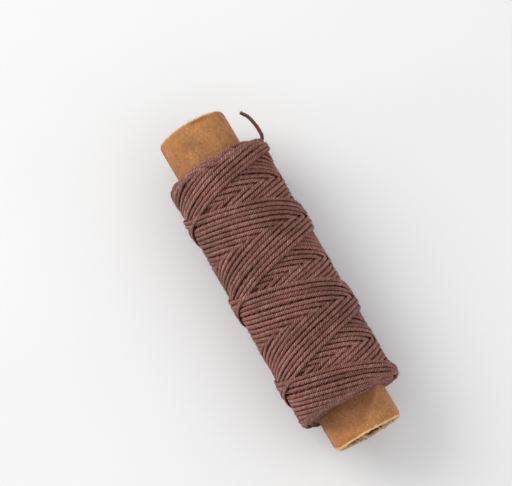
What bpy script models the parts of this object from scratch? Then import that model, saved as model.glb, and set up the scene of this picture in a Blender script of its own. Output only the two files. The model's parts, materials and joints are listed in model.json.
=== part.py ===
"""Spool of waxed thread: a wound paper tube carrying one long thread, cross-wound into a package.

Frame: +X along the spool's axis towards the end with the shorter bare tube, +Z up, the spool lying
on its side. The origin is on the axis, midway between the two ends of the tube. Units are metres.

The tube is four plies, one inside the other. The thread's starting end lies along the tube under
the first turns, three shells hold the turns of the winding, and the last pass lies over them. The
last turn leaves the package at the -X shoulder, and the free end beyond it bends at three places.
"""

import math

import bmesh
import bpy
from mathutils import Vector

MM = 0.001

# ---------------------------------------------------------------- tube dimensions
TUBE_LENGTH = 76.2 * MM  # three inches
TUBE_OUTER_R = 7.85 * MM
OUTER_WRAP = 0.28 * MM  # ply thicknesses, from the outside in
THIRD_PLY = 0.40 * MM
SECOND_PLY = 0.40 * MM
INNER_PLY = 0.33 * MM
PLY_GAP = 0.03 * MM  # glue line between two plies
RIM_EASE = 0.10 * MM  # bevel on the rim of the outer wrap and the mouth of the bore
PLY_SIDES = 48

# ---------------------------------------------------------------- winding dimensions
PACKAGE_START_X = -28.2 * MM  # shoulder at the end the thread leaves from
PACKAGE_END_X = 30.6 * MM
FIRST_LAYERS_R = 8.95 * MM
MIDDLE_LAYERS_R = 10.05 * MM
PACKAGE_R = 11.30 * MM  # wound surface, under the last pass of thread
LAYER_GAP = 0.03 * MM
TUBE_TO_THREAD_GAP = 0.05 * MM
FIRST_INSET = 0.25 * MM  # how far a shell's ends stand in from the package's ends
MIDDLE_INSET = 0.10 * MM
FIRST_EASE = 0.15 * MM  # corner rounding of each shell
MIDDLE_EASE = 0.25 * MM
OUTER_EASE = 0.95 * MM
EASE_STEPS = 3
WINDING_SIDES = 24

# ---------------------------------------------------------------- thread dimensions
THREAD_R = 0.40 * MM
JOINT_GAP = 0.30 * MM  # between two lengths of the free end

# Starting end, and the channel that the first turns leave as they bridge it.
START_FROM_SHOULDER = 15.0 * MM  # its two tips, measured in from the +X end of the package
START_TO_SHOULDER = 0.6 * MM
START_CLEARANCE = 0.06 * MM  # below the tube
CHANNEL_SIDE_ROOM = 0.125 * MM  # on each side of the thread
CHANNEL_DEPTH_ROOM = 0.12 * MM  # below the thread
CHANNEL_TIP_ROOM = 0.4 * MM  # beyond the inner tip
CHANNEL_END_OVERSHOOT = 1.0 * MM  # past the end of the package
CHANNEL_TUBE_OVERSHOOT = 1.0 * MM  # up into the tube's radius

# Last pass and last turn.
WIND_PITCH = 20.0 * MM  # travel along the axis for each turn
LAST_PASS_CLEARANCE = 0.06 * MM
LAST_PASS_SHOULDER = 1.6 * MM  # from the +X end of the package to the start of the pass
LAST_PASS_STEPS = 64
LAST_TURN_CLEARANCE = 0.16 * MM
LAST_TURN_ARC = 34.0  # degrees
LAST_TURN_STEPS = 16
PASS_TO_TURN_GAP = 1.2 * MM  # along the axis
LEAVING_LEAD = 1.2 * THREAD_R  # from the end of the arc to the first point of the free end

# The take-off gives the place along the axis and the angle at which the last turn's arc ends.
TAKE_OFF = Vector((-27.55, 11.33, -2.55)) * MM

# Free end's centre line, from its first bend to its cut tip.
BEND_1 = Vector((-29.75, 12.52, -2.35)) * MM
BEND_2 = Vector((-32.45, 12.45, -1.30)) * MM
BEND_3 = Vector((-34.45, 11.80, 0.10)) * MM
TIP = Vector((-35.75, 10.60, 1.30)) * MM

# ---------------------------------------------------------------- scene and collections
for old in list(bpy.data.objects):
    bpy.data.objects.remove(old)

parts = bpy.data.collections.new("waxed_thread_spool")
cutters = bpy.data.collections.new("cutters")
bpy.context.scene.collection.children.link(parts)
bpy.context.scene.collection.children.link(cutters)

# Turned shapes stand on this empty: its +Z is the spool's +X.
spool_axis = bpy.data.objects.new("spool_axis", None)
spool_axis.rotation_euler = (0.0, math.radians(90.0), 0.0)
spool_axis.empty_display_size = 0.01
parts.objects.link(spool_axis)


# ---------------------------------------------------------------- materials
def material(name, colour, roughness):
    """A Principled material with a linear colour."""
    made = bpy.data.materials.new(name)
    made.use_nodes = True
    shader = made.node_tree.nodes["Principled BSDF"]
    shader.inputs["Base Color"].default_value = (*colour, 1.0)
    shader.inputs["Roughness"].default_value = roughness
    made.diffuse_color = (*colour, 1.0)
    return made


kraft = material("kraft_paper", colour=(0.50, 0.245, 0.085), roughness=0.55)
board = material("grey_board", colour=(0.36, 0.25, 0.16), roughness=0.85)
thread_deep = material("thread_deep", colour=(0.125, 0.055, 0.042), roughness=0.62)
thread_mid = material("thread_middle", colour=(0.15, 0.068, 0.052), roughness=0.62)
thread_top = material("thread_outer", colour=(0.20, 0.095, 0.075), roughness=0.58)
thread_end = material("thread_free_end", colour=(0.13, 0.055, 0.042), roughness=0.6)


# ---------------------------------------------------------------- shape helpers
def add(name, data, mat):
    obj = bpy.data.objects.new(name, data)
    parts.objects.link(obj)
    data.materials.append(mat)
    return obj


def turned(name, profile, mat, sides):
    """Turn a closed (radius, height) profile, listed down its outer side first, round the axis."""
    mesh = bpy.data.meshes.new(name)
    bm = bmesh.new()
    verts = [bm.verts.new((radius, 0.0, height)) for radius, height in profile]
    for start, end in zip(verts, verts[1:] + verts[:1]):
        bm.edges.new((start, end))
    bm.to_mesh(mesh)
    bm.free()
    obj = add(name, mesh, mat)
    obj.parent = spool_axis
    screw = obj.modifiers.new("turn", "SCREW")
    screw.axis = "Z"
    screw.angle = 2.0 * math.pi
    screw.steps = sides
    screw.render_steps = sides
    screw.use_merge_vertices = True
    screw.merge_threshold = 0.00001
    screw.use_smooth_shade = True
    return obj


def strand(name, points, mat, origin=(0.0, 0.0, 0.0), bevel_resolution=2):
    """A length of thread along a line of points, with its cut ends filled."""
    origin = Vector(origin)
    curve = bpy.data.curves.new(name, "CURVE")
    curve.dimensions = "3D"
    curve.bevel_depth = THREAD_R
    curve.bevel_resolution = bevel_resolution
    curve.use_fill_caps = True
    spline = curve.splines.new("POLY")
    spline.points.add(len(points) - 1)
    for spline_point, place in zip(spline.points, points):
        spline_point.co = (*(place - origin), 1.0)
    add(name, curve, mat).location = origin


def between(start, end, count):
    """Evenly spaced points from start to end, both included."""
    return [start.lerp(end, i / (count - 1)) for i in range(count)]


# ---------------------------------------------------------------- the paper tube
def ply(name, inner_r, outer_r, mat, ease_outer, ease_inner):
    """One full-length ply of the tube, its rim bevelled where an ease is given."""
    half = TUBE_LENGTH / 2.0

    def mirrored(points):
        return [(radius, -height) for radius, height in reversed(points)]

    outer_corner = [(outer_r, half - ease_outer)]
    if ease_outer:
        outer_corner.insert(0, (outer_r - ease_outer, half))
    inner_corner = [(inner_r, half - ease_inner)]
    if ease_inner:
        inner_corner.append((inner_r + ease_inner, half))
    profile = outer_corner + mirrored(outer_corner) + mirrored(inner_corner) + inner_corner
    turned(name, profile, mat, PLY_SIDES)


# Name, thickness, material, outer rim ease, inner rim ease; from the outside in.
PLIES = (
    ("core_outer_wrap", OUTER_WRAP, kraft, RIM_EASE, 0.0),
    ("core_third_ply", THIRD_PLY, board, 0.0, 0.0),
    ("core_second_ply", SECOND_PLY, board, 0.0, 0.0),
    ("core_inner_ply", INNER_PLY, board, 0.0, RIM_EASE),
)
ply_outer_r = TUBE_OUTER_R
for name, thickness, mat, ease_outer, ease_inner in PLIES:
    ply(name, ply_outer_r - thickness, ply_outer_r, mat, ease_outer, ease_inner)
    ply_outer_r -= thickness + PLY_GAP


# ---------------------------------------------------------------- the winding
def winding(name, inner_r, outer_r, inset, ease, mat):
    """A shell of the winding, with its two outer corners rounded over."""
    low_x = PACKAGE_START_X + inset
    high_x = PACKAGE_END_X - inset
    angles = [math.pi / 2.0 * i / EASE_STEPS for i in range(EASE_STEPS + 1)]
    rise = [ease * (1.0 - math.sin(angle)) for angle in angles]
    fall = [ease * (1.0 - math.cos(angle)) for angle in angles]
    profile = [(outer_r - dr, high_x - dx) for dr, dx in zip(rise, fall)]
    profile += [(outer_r - dr, low_x + dx) for dr, dx in zip(fall, rise)]
    profile += [(inner_r, low_x), (inner_r, high_x)]
    return turned(name, profile, mat, WINDING_SIDES)


# The flats of the bore are nearer to the axis than its corners, so its corners stand further out.
bore_r = (TUBE_OUTER_R + TUBE_TO_THREAD_GAP) / math.cos(math.pi / WINDING_SIDES)
first_layers = winding(
    "thread_first_layers",
    inner_r=bore_r,
    outer_r=FIRST_LAYERS_R,
    inset=FIRST_INSET,
    ease=FIRST_EASE,
    mat=thread_deep,
)
winding(
    "thread_middle_layers",
    inner_r=FIRST_LAYERS_R + LAYER_GAP,
    outer_r=MIDDLE_LAYERS_R,
    inset=MIDDLE_INSET,
    ease=MIDDLE_EASE,
    mat=thread_mid,
)
winding(
    "thread_outer_layers",
    inner_r=MIDDLE_LAYERS_R + LAYER_GAP,
    outer_r=PACKAGE_R,
    inset=0.0,
    ease=OUTER_EASE,
    mat=thread_top,
)

# ---------------------------------------------------------------- the starting end
# It lies along the underside of the tube.
start_z = -(TUBE_OUTER_R + START_CLEARANCE + THREAD_R)
start_from = Vector((PACKAGE_END_X - START_FROM_SHOULDER, 0.0, start_z))
start_to = Vector((PACKAGE_END_X - START_TO_SHOULDER, 0.0, start_z))
strand("thread_starting_end", [start_from, start_to], thread_deep)


def box_cutter(name, low, high):
    """A hidden box between two opposite corners."""
    mesh = bpy.data.meshes.new(name)
    bm = bmesh.new()
    bmesh.ops.create_cube(bm, size=1.0)
    bmesh.ops.scale(bm, vec=high - low, verts=bm.verts)
    bmesh.ops.translate(bm, vec=(high + low) / 2.0, verts=bm.verts)
    bm.to_mesh(mesh)
    bm.free()
    obj = bpy.data.objects.new(name, mesh)
    cutters.objects.link(obj)
    obj.hide_render = True
    obj.display_type = "WIRE"
    return obj


channel_half_width = THREAD_R + CHANNEL_SIDE_ROOM
channel_low = Vector((
    start_from.x - CHANNEL_TIP_ROOM,
    -channel_half_width,
    start_z - THREAD_R - CHANNEL_DEPTH_ROOM,
))
channel_high = Vector((
    PACKAGE_END_X + CHANNEL_END_OVERSHOOT,
    channel_half_width,
    -TUBE_OUTER_R + CHANNEL_TUBE_OVERSHOOT,
))
cut = first_layers.modifiers.new("channel", "BOOLEAN")
cut.operation = "DIFFERENCE"
cut.solver = "EXACT"
cut.object = box_cutter("starting_end_channel", channel_low, channel_high)


# ---------------------------------------------------------------- the last pass and last turn
def helix(clearance, start_x, end_x, steps):
    """Points along the wound path over the package, in line with the take-off angle."""
    radius = PACKAGE_R + clearance + THREAD_R
    take_off_angle = math.atan2(TAKE_OFF.y, TAKE_OFF.z)  # from +Z towards +Y
    points = []
    for i in range(steps + 1):
        x = start_x + (end_x - start_x) * i / steps
        angle = take_off_angle - 2.0 * math.pi * (x - TAKE_OFF.x) / WIND_PITCH
        points.append(Vector((x, radius * math.sin(angle), radius * math.cos(angle))))
    return points


# The pass runs from the +X shoulder and stops short of the last turn.
turn_start_x = TAKE_OFF.x + WIND_PITCH * LAST_TURN_ARC / 360.0
last_pass = helix(
    LAST_PASS_CLEARANCE,
    start_x=PACKAGE_END_X - LAST_PASS_SHOULDER,
    end_x=turn_start_x + PASS_TO_TURN_GAP,
    steps=LAST_PASS_STEPS,
)
strand("thread_last_pass", last_pass, thread_top, bevel_resolution=1)

# The same length leaves the package at the end of its arc and runs on to the first bend.
last_turn = helix(LAST_TURN_CLEARANCE, turn_start_x, TAKE_OFF.x, LAST_TURN_STEPS)
leaving = (BEND_1 - last_turn[-1]).normalized()
turn_out = last_turn[-1] + leaving * LEAVING_LEAD
run_out = between(turn_out, BEND_1 - leaving * (JOINT_GAP / 2.0), 3)
strand("thread_last_turn", last_turn + run_out, thread_end)


# ---------------------------------------------------------------- the free end
def tail_length(name, here, there, end_gap=JOINT_GAP / 2.0):
    """A straight length of the free end, standing back from its bends, its origin on the first."""
    along = (there - here).normalized()
    start = here + along * (JOINT_GAP / 2.0)
    strand(name, between(start, there - along * end_gap, 3), thread_end, origin=here)


tail_length("thread_tail_lower", BEND_1, BEND_2)
tail_length("thread_tail_upper", BEND_2, BEND_3)
tail_length("thread_tail_tip", BEND_3, TIP, end_gap=0.0)

bpy.context.view_layer.update()
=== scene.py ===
"""Looks of the waxed thread spool: a paper tube with a real cross-wound thread, laid strand by strand.

The tube lies along X, its near end at +X and its far end at -X. Angles round it are in degrees, from
+Z towards +Y, and lengths are in mm until a mesh is made.

The winding is simulated: every double stroke of the thread, to the near shoulder and back, is laid on
a height map of the package, rests on what is already there, is pulled tight over it, and slides a
little into the hollow beside it. The strands that can still be seen are built as four-ply thread.
"""
import json
import math

import bpy
import numpy as np
from mathutils import Matrix, Vector


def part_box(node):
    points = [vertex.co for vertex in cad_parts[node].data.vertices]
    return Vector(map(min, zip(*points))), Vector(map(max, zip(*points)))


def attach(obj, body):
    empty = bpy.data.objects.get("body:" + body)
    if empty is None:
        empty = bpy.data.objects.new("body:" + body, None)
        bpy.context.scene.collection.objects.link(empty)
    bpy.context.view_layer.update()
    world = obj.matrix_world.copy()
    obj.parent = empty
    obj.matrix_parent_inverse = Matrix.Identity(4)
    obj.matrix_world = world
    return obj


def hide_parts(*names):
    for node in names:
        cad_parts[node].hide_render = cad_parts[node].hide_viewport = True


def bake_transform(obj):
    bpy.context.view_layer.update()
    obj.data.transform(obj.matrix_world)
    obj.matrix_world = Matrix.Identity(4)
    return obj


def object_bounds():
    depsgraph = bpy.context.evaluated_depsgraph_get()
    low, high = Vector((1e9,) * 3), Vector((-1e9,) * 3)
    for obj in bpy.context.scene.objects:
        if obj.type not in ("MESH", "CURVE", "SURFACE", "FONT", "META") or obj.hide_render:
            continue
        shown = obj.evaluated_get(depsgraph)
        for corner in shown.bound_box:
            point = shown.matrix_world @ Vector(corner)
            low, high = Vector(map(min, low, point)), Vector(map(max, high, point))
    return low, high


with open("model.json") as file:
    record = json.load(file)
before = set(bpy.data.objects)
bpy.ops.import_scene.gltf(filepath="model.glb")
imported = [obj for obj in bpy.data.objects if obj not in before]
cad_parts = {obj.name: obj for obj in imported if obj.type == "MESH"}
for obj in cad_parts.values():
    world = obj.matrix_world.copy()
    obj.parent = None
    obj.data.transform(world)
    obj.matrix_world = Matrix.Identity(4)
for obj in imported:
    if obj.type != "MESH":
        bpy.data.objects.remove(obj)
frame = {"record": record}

cad_low, cad_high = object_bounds()

# ------------------------------------------------------------------ sizes, read from the CAD, in mm
MM = 0.001
tube_low, tube_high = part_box("core_outer_wrap")
pack_low, pack_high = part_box("thread_outer_layers")
TUBE_HALF = (tube_high.x - tube_low.x) / 2 / MM
TUBE_R = (tube_high.z - tube_low.z) / 2 / MM
BORE_R = 6.35
X_FAR, X_NEAR = pack_low.x / MM, pack_high.x / MM      # the shoulders of the winding
PACK_R = (pack_high.z - pack_low.z) / 2 / MM
JOINTS = {joint["name"]: joint for joint in frame["record"]["behaviour"]["joints"]}

# ------------------------------------------------------------------ the thread, in mm and degrees
PLIES = 4
TWIST = 2.10            # length of one full twist of the plies
HALF_WIDE, HALF_HIGH = 0.475, 0.345     # the wound thread is pressed a little flat
FREE_R = 0.40           # the free end is round
START_R = 0.36
SIDES = 12
SPACING = 0.15      # between the rings of a wound strand
FREE_SPACING = 0.08

# ------------------------------------------------------------------ the winding, in mm and degrees
ADVANCE = 19.4          # gained by each double stroke
PITCH = 20.0            # along the axis for each turn
SLOPE = PITCH / 360.0
ONE_WAY = 3 * 360.0     # three turns from shoulder to shoulder
DOUBLE_STROKE = 2 * ONE_WAY + ADVANCE
TRAVEL = SLOPE * ONE_WAY
NEWEST = 136.1          # where the newest turn reaches the far shoulder
STROKES = 58            # double strokes in the package
SHOWN = 27              # newest double strokes, built in pairs; older ones are built eight to a piece
FUZZY = 12              # newest double strokes that carry fuzz
FUZZ_EACH = 600         # hairs on each of them
FAR_REACH = 0.70        # how far past the far shoulder the straight strokes would meet
SQUEEZE = 0.09          # how much a strand gives where it rests on another
JOIN_BACK = 71.5        # degrees before the far turning point where the free end's own length begins
LEAD_ON = 60            # steps over which a double stroke is led to the start of the next

# The height map: rows go round, columns go along the axis.
ANGLE_STEP = 0.5
ROWS = int(360 / ANGLE_STEP)
X_STEP = 0.1
GRID_X0 = X_FAR - 1.5
COLUMNS = int(round((X_NEAR + 1.5 - GRID_X0) / X_STEP)) + 1
GRID_X = GRID_X0 + X_STEP * np.arange(COLUMNS)
REACH = 6               # columns that a strand can touch to each side of its middle


# ------------------------------------------------------------------ curves and noise
def smooth(values, sigma):
    reach = int(max(1, round(3 * sigma)))
    kernel = np.exp(-0.5 * (np.arange(-reach, reach + 1) / sigma) ** 2)
    kernel /= kernel.sum()
    return np.convolve(np.pad(values, reach, mode="edge"), kernel, mode="valid")


def wander(rng, count, sigma, amount):
    noise = smooth(rng.standard_normal(count), sigma)
    return noise / (noise.std() + 1e-9) * amount


def uneven(rng, distance, every):
    """A random value at every given length of a strand, and straight lines between."""
    knots = np.arange(0, distance[-1] + every, every)
    return np.interp(distance, knots, rng.standard_normal(len(knots)))


def upper_hull(x, y):
    """Least concave majorant of y over x: the line a tight thread takes over bumps."""
    hull_x, hull_y = [], []
    for new_x, new_y in zip(x.tolist(), y.tolist()):
        while len(hull_x) >= 2:
            rise_last = (hull_y[-1] - hull_y[-2]) * (new_x - hull_x[-2])
            rise_new = (new_y - hull_y[-2]) * (hull_x[-1] - hull_x[-2])
            if rise_last > rise_new:
                break
            hull_x.pop()
            hull_y.pop()
        hull_x.append(new_x)
        hull_y.append(new_y)
    return np.interp(x, hull_x, hull_y)


def smooth_line(points, per_span):
    """A Catmull-Rom line through the points."""
    points = np.vstack([2 * points[0] - points[1], points, 2 * points[-1] - points[-2]])
    spans = []
    for i in range(1, len(points) - 2):
        t = np.linspace(0, 1, per_span, endpoint=False)[:, None]
        a, b, c, d = points[i - 1:i + 3]
        square = (2 * a - 5 * b + 4 * c - d) * t ** 2
        cube = (3 * b - a - 3 * c + d) * t ** 3
        spans.append(0.5 * (2 * b + (c - a) * t + square + cube))
    spans.append(points[-2][None])
    return np.vstack(spans)


def resample(points, spacing):
    """Evenly spaced points on a line: distance along it, the points, and where they fall in the old ones."""
    steps = np.linalg.norm(np.diff(points, axis=0), axis=1)
    old = np.concatenate([[0], np.cumsum(steps)])
    count = max(4, int(round(old[-1] / spacing)) + 1)
    distance = np.linspace(0, old[-1], count)
    even = np.stack([np.interp(distance, old, points[:, i]) for i in range(3)], -1)
    return distance, even, np.interp(distance, old, np.arange(len(points)))


def unit(vectors):
    return vectors / np.linalg.norm(vectors, axis=1)[:, None]


def round_axis(angle, x, radius):
    """Points at an angle round the X axis."""
    turn = np.radians(angle)
    return np.stack([x, radius * np.sin(turn), radius * np.cos(turn)], -1)


def outward(angle):
    return round_axis(angle, np.zeros(len(angle)), 1.0)


def lean(points):
    """The package is wound a little thicker on one side, more so towards the far end."""
    points = points.copy()
    radius = np.hypot(points[..., 1], points[..., 2])
    depth = np.clip((radius - TUBE_R) / (PACK_R - TUBE_R), 0, 1.15)
    points[..., 1] += (0.26 - 0.0086 * points[..., 0]) * depth
    return points


# ------------------------------------------------------------------ simulation of the winding
def rounded_turn(angle, width):
    """Angle from a turning point, rounded off over +-width degrees after a short dwell."""
    angle = np.maximum(np.abs(angle) - ADVANCE / 4, 0)
    return np.where(angle < width, 0.5 * (angle * angle / width + width), angle)


def guided_stroke(age, rng):
    """Steps round, places along the axis and distance from the far turn, as the thread is fed."""
    start = NEWEST - DOUBLE_STROKE * (age + 1)
    steps = np.arange(
        math.ceil(start / ANGLE_STEP), math.ceil((start + DOUBLE_STROKE) / ANGLE_STEP)
    )
    angle = steps * ANGLE_STEP - start
    far_width = float(np.clip(56.0 + 8 * rng.standard_normal(), 46, 76))
    near_width = float(np.clip(41.0 + 7 * rng.standard_normal(), 30, 60))
    from_far = SLOPE * rounded_turn(np.minimum(angle, DOUBLE_STROKE - angle), far_width)
    from_near = SLOPE * rounded_turn(angle - DOUBLE_STROKE / 2, near_width)
    travel = np.where(from_far < TRAVEL / 2, from_far, TRAVEL - from_near)
    x = X_FAR - FAR_REACH + travel
    taper = 0.15 * age / STROKES        # older strokes reach a little further at both ends
    x += smooth(np.where(travel < TRAVEL / 2, -taper, taper), 300)
    x += wander(rng, len(x), 90, 0.11) + wander(rng, len(x), 30, 0.055)
    return steps, x, travel


def contact(height, rows, x):
    """Columns under a strand, places across it, its section there, and the radius it rests at."""
    middle = np.round((x - GRID_X0) / X_STEP).astype(int)
    middle = np.clip(middle, REACH, COLUMNS - 1 - REACH)
    columns = middle[:, None] + np.arange(-REACH, REACH + 1)[None]
    across = (GRID_X[columns] - x[:, None]) / (HALF_WIDE * 1.04)
    section = np.sqrt(np.clip(1 - across * across, 0, None))
    resting = height[rows[:, None], columns] + (HALF_HIGH - SQUEEZE) * section
    return columns, across, section, np.where(np.abs(across) < 1, resting, -1e9).max(1)


def slide(height, rows, x):
    """The strand moves a little sideways to where it lies lower."""
    shifts = np.linspace(-0.30, 0.30, 13)
    cost = np.stack([
        smooth(contact(height, rows, x + shift)[3], 4) + 1.6 * shift * shift for shift in shifts
    ])
    return x + smooth(shifts[cost.argmin(0)], 14)


def wind(seed=7):
    """Lays all the double strokes, oldest first. Gives the height map and each stroke's path."""
    rng = np.random.default_rng(seed)
    height = np.full((ROWS, COLUMNS), TUBE_R)
    paths = []
    for age in reversed(range(STROKES)):
        steps, x, travel = guided_stroke(age, rng)
        rows = steps % ROWS
        x = slide(height, rows, x)
        columns, across, section, resting = contact(height, rows, x)
        # the strands that pile up at the shoulders press each other flat and round the shoulder over
        level = np.median(resting[(travel > 6) & (travel < TRAVEL - 6)])
        edge = np.minimum(x - (X_FAR + 0.2), (X_NEAR - 0.2) - x)
        rounding = 0.55 * np.clip(1 - edge / 1.8, 0, 1) ** 2
        cap = level + 0.30 - rounding + 0.50 * np.clip((edge - 3.0) / 3.0, 0, 1)
        resting = np.minimum(resting, cap)
        # pulled tight over the bumps of a round package
        angle = steps * ANGLE_STEP
        turn = np.radians(angle)
        turn = turn - turn.mean()
        bow = resting.mean() * turn * turn / 2
        radius = upper_hull(turn, resting - bow) + bow
        radius = np.minimum(smooth(radius, 3), cap + 0.08)
        top = np.where(np.abs(across) < 1, radius[:, None] + HALF_HIGH * section, 0)
        np.maximum.at(height, (np.broadcast_to(rows[:, None], columns.shape), columns), top)
        paths.append((angle, x, radius))
    return height, paths


# ------------------------------------------------------------------ meshes
def make_mesh(name, verts, quads, attributes, tris=()):
    """A smooth-shaded object from points in mm, quads, point attributes and perhaps triangles."""
    mesh = bpy.data.meshes.new(name)
    verts = np.asarray(verts, np.float64).reshape(-1, 3) * MM
    quads = np.asarray(quads, np.int32).reshape(-1, 4)
    tris = np.asarray(tris, np.int32).reshape(-1, 3)
    faces = len(quads) + len(tris)
    mesh.vertices.add(len(verts))
    mesh.vertices.foreach_set("co", verts.astype(np.float32).ravel())
    mesh.loops.add(quads.size + tris.size)
    corners = np.concatenate([quads.ravel(), tris.ravel()]).astype(np.int32)
    mesh.loops.foreach_set("vertex_index", corners)
    mesh.polygons.add(faces)
    starts = np.concatenate([np.arange(len(quads)) * 4, quads.size + np.arange(len(tris)) * 3])
    mesh.polygons.foreach_set("loop_start", starts.astype(np.int32))
    mesh.polygons.foreach_set("use_smooth", np.ones(faces, bool))
    mesh.update(calc_edges=True)
    for key, values in attributes.items():
        values = np.asarray(values, np.float32)
        kind, field_name = ("FLOAT_VECTOR", "vector") if values.ndim == 2 else ("FLOAT", "value")
        layer = mesh.attributes.new(key, kind, "POINT")
        layer.data.foreach_set(field_name, values.ravel())
    obj = bpy.data.objects.new(name, mesh)
    bpy.context.scene.collection.objects.link(obj)
    return obj


def tube_faces(rings, sides, base=0):
    """Quads of an open tube, its points stored ring by ring."""
    ring = np.arange(rings - 1)[:, None] * sides
    side = np.arange(sides)[None]
    after = (side + 1) % sides
    corners = [ring + side, ring + after, ring + sides + after, ring + sides + side]
    return np.stack(corners, -1).reshape(-1, 4) + base


def sleeve_faces(around, section):
    """Quads of a closed sleeve: a closed section repeated all round the axis."""
    here = np.arange(around)[:, None] * section
    there = ((np.arange(around) + 1) % around)[:, None] * section
    point = np.arange(section)[None]
    after = (point + 1) % section
    corners = [here + point, there + point, there + after, here + after]
    return np.stack(corners, -1).reshape(-1, 4)


# ------------------------------------------------------------------ twisted thread
# One ply reaches from groove to groove; the crest is at the middle.
AROUND = np.arange(SIDES) / SIDES * 2 * math.pi
ply_place = (np.arange(SIDES) % (SIDES // PLIES)) / (SIDES // PLIES) * 2 - 1
FROM_CREST = np.abs(ply_place)          # 1 at the groove, 0 at the crest
PLY_OF_SIDE = (np.arange(SIDES) * PLIES // SIDES) % PLIES
PLY_TONE = np.array([0.15, -0.5, 0.55, -0.2])[PLY_OF_SIDE]
LOBE = 0.57 + 0.48 * np.cos(FROM_CREST * math.pi / 2) ** 0.7
LOBE = LOBE * np.array([1.02, 0.93, 1.04, 0.96])[PLY_OF_SIDE]      # no two plies are quite alike
ROUND = np.stack([np.cos(AROUND), np.sin(AROUND), PLY_TONE], -1)
SQUARE = 2.5            # exponent of the rounded square that neighbours press the thread into


def strand_rings(points, normal, turned, wide, high):
    """Rings of a twisted thread. normal points out of the package, turned is each side's angle."""
    tangent = unit(np.gradient(points, axis=0))
    out = unit(normal - (normal * tangent).sum(1)[:, None] * tangent)
    across = np.cross(tangent, out)
    cos, sin = np.cos(turned), np.sin(turned)
    full = LOBE[None] * (np.abs(cos) ** SQUARE + np.abs(sin) ** SQUARE) ** (-1 / SQUARE)
    cos, sin = cos * full, sin * full
    sideways = (wide[:, None] * cos)[..., None] * across[:, None]
    return points[:, None] + sideways + (high[:, None] * sin)[..., None] * out[:, None]


class Strands:
    """Collects lengths of thread into one piece, each with its two ends closed.

    Its attributes are thread (distance along, distance from a ply's crest, tone), round (cosine and
    sine of the side before twisting, ply tone) and outward (1 on the side that faces out of the
    package, -1 on the side that lies on the layer below).
    """

    def __init__(self, name):
        self.name = name
        self.verts, self.quads, self.tris = [], [], []
        self.thread, self.round, self.outward = [], [], []
        self.count = 0

    def add(self, points, normal, distance, wide, high, tone, packed=1.0, shoulder=None):
        rings = len(points)
        turned = AROUND[None] + (2 * math.pi / TWIST * distance)[:, None]
        verts = strand_rings(points, normal, turned, wide, high)
        thread = np.zeros((rings, SIDES, 3))
        thread[..., 0] = distance[:, None]
        thread[..., 1] = FROM_CREST[None]
        thread[..., 2] = np.reshape(tone, (-1, 1))
        out = np.sin(turned)
        if shoulder is not None:        # at a shoulder the side towards the end of the tube is open too
            towards = 0.35 + np.sign(shoulder)[:, None] * np.cos(turned)
            out = np.clip(np.maximum(out, np.abs(shoulder)[:, None] * towards), -1, 1)
        grip = np.broadcast_to(np.asarray(packed, float).reshape(-1, 1), (rings, 1))
        self.verts.append(verts.reshape(-1, 3))
        self.quads.append(tube_faces(rings, SIDES, self.count))
        self.thread.append(thread.reshape(-1, 3))
        self.round.append(np.broadcast_to(ROUND[None], (rings, SIDES, 3)).reshape(-1, 3))
        self.outward.append((1 + (out - 1) * grip).ravel())
        side = np.arange(SIDES)
        for end, ring in enumerate((0, rings - 1)):
            self.verts.append(verts[ring].mean(0)[None])
            self.thread.append(np.array([[distance[ring], 0.5, thread[ring, 0, 2]]]))
            self.round.append(np.zeros((1, 3)))
            self.outward.append(np.ones(1))
            this = self.count + ring * SIDES + side
            after = self.count + ring * SIDES + (side + 1) % SIDES
            centre = np.full(SIDES, self.count + rings * SIDES + end)
            corners = [this, after, centre] if end else [after, this, centre]
            self.tris.append(np.stack(corners, 1))
        self.count += rings * SIDES + 2

    def build(self):
        attributes = {
            "thread": np.concatenate(self.thread),
            "round": np.concatenate(self.round),
            "outward": np.concatenate(self.outward),
        }
        verts, quads = np.concatenate(self.verts), np.concatenate(self.quads)
        return make_mesh(self.name, verts, quads, attributes, np.concatenate(self.tris))


# ------------------------------------------------------------------ the wound strands
height, paths = wind()
strand_rng = np.random.default_rng(21)
groups = {}
fuzz_roots = []         # points, outward directions and directions along the strand
total = 0.0             # length of thread laid so far


def course(index):
    """A stroke's angles, places and radii, led on to the next one or ended under the free end."""
    angle, x, radius = paths[index]
    if index + 1 < len(paths):
        next_angle, next_x, next_radius = paths[index + 1]
        blend = np.linspace(0, 1, LEAD_ON)
        blend = blend * blend * (3 - 2 * blend)

        def lead_on(values, following):
            values = values.copy()
            values[-LEAD_ON:] += (following - values[-1]) * blend
            return np.append(values, following)

        return (
            np.append(angle, next_angle[0]),
            lead_on(x, next_x[0]),
            lead_on(radius, next_radius[0]),
        )
    here = angle < NEWEST - JOIN_BACK + 3
    angle, x, radius = angle[here], x[here], radius[here]
    sunk = 0.34 * np.clip((angle - (NEWEST - JOIN_BACK - 3)) / 6, 0, 1) ** 2
    return angle, x, radius - sunk


def seen_from_outside(angle, x, radius):
    """Where the finished package isn't higher than this strand, anywhere across its width."""
    row = np.round(angle / ANGLE_STEP).astype(int) % ROWS
    seen = np.zeros(len(x), bool)
    for across in (-0.92, -0.6, -0.2, 0.2, 0.6, 0.92):
        column = np.round((x + across * HALF_WIDE - GRID_X0) / X_STEP).astype(int)
        column = np.clip(column, 0, COLUMNS - 1)
        top = radius + HALF_HIGH * math.sqrt(1 - across * across) + 0.06
        seen |= height[row, column] < top
    return seen


def runs(keep):
    """Slices of the unbroken runs of at least seven kept points."""
    ends = np.flatnonzero(np.diff(np.concatenate([[0], keep.astype(int), [0]])))
    return [slice(i, j) for i, j in zip(ends[::2], ends[1::2]) if j - i >= 7]


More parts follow.
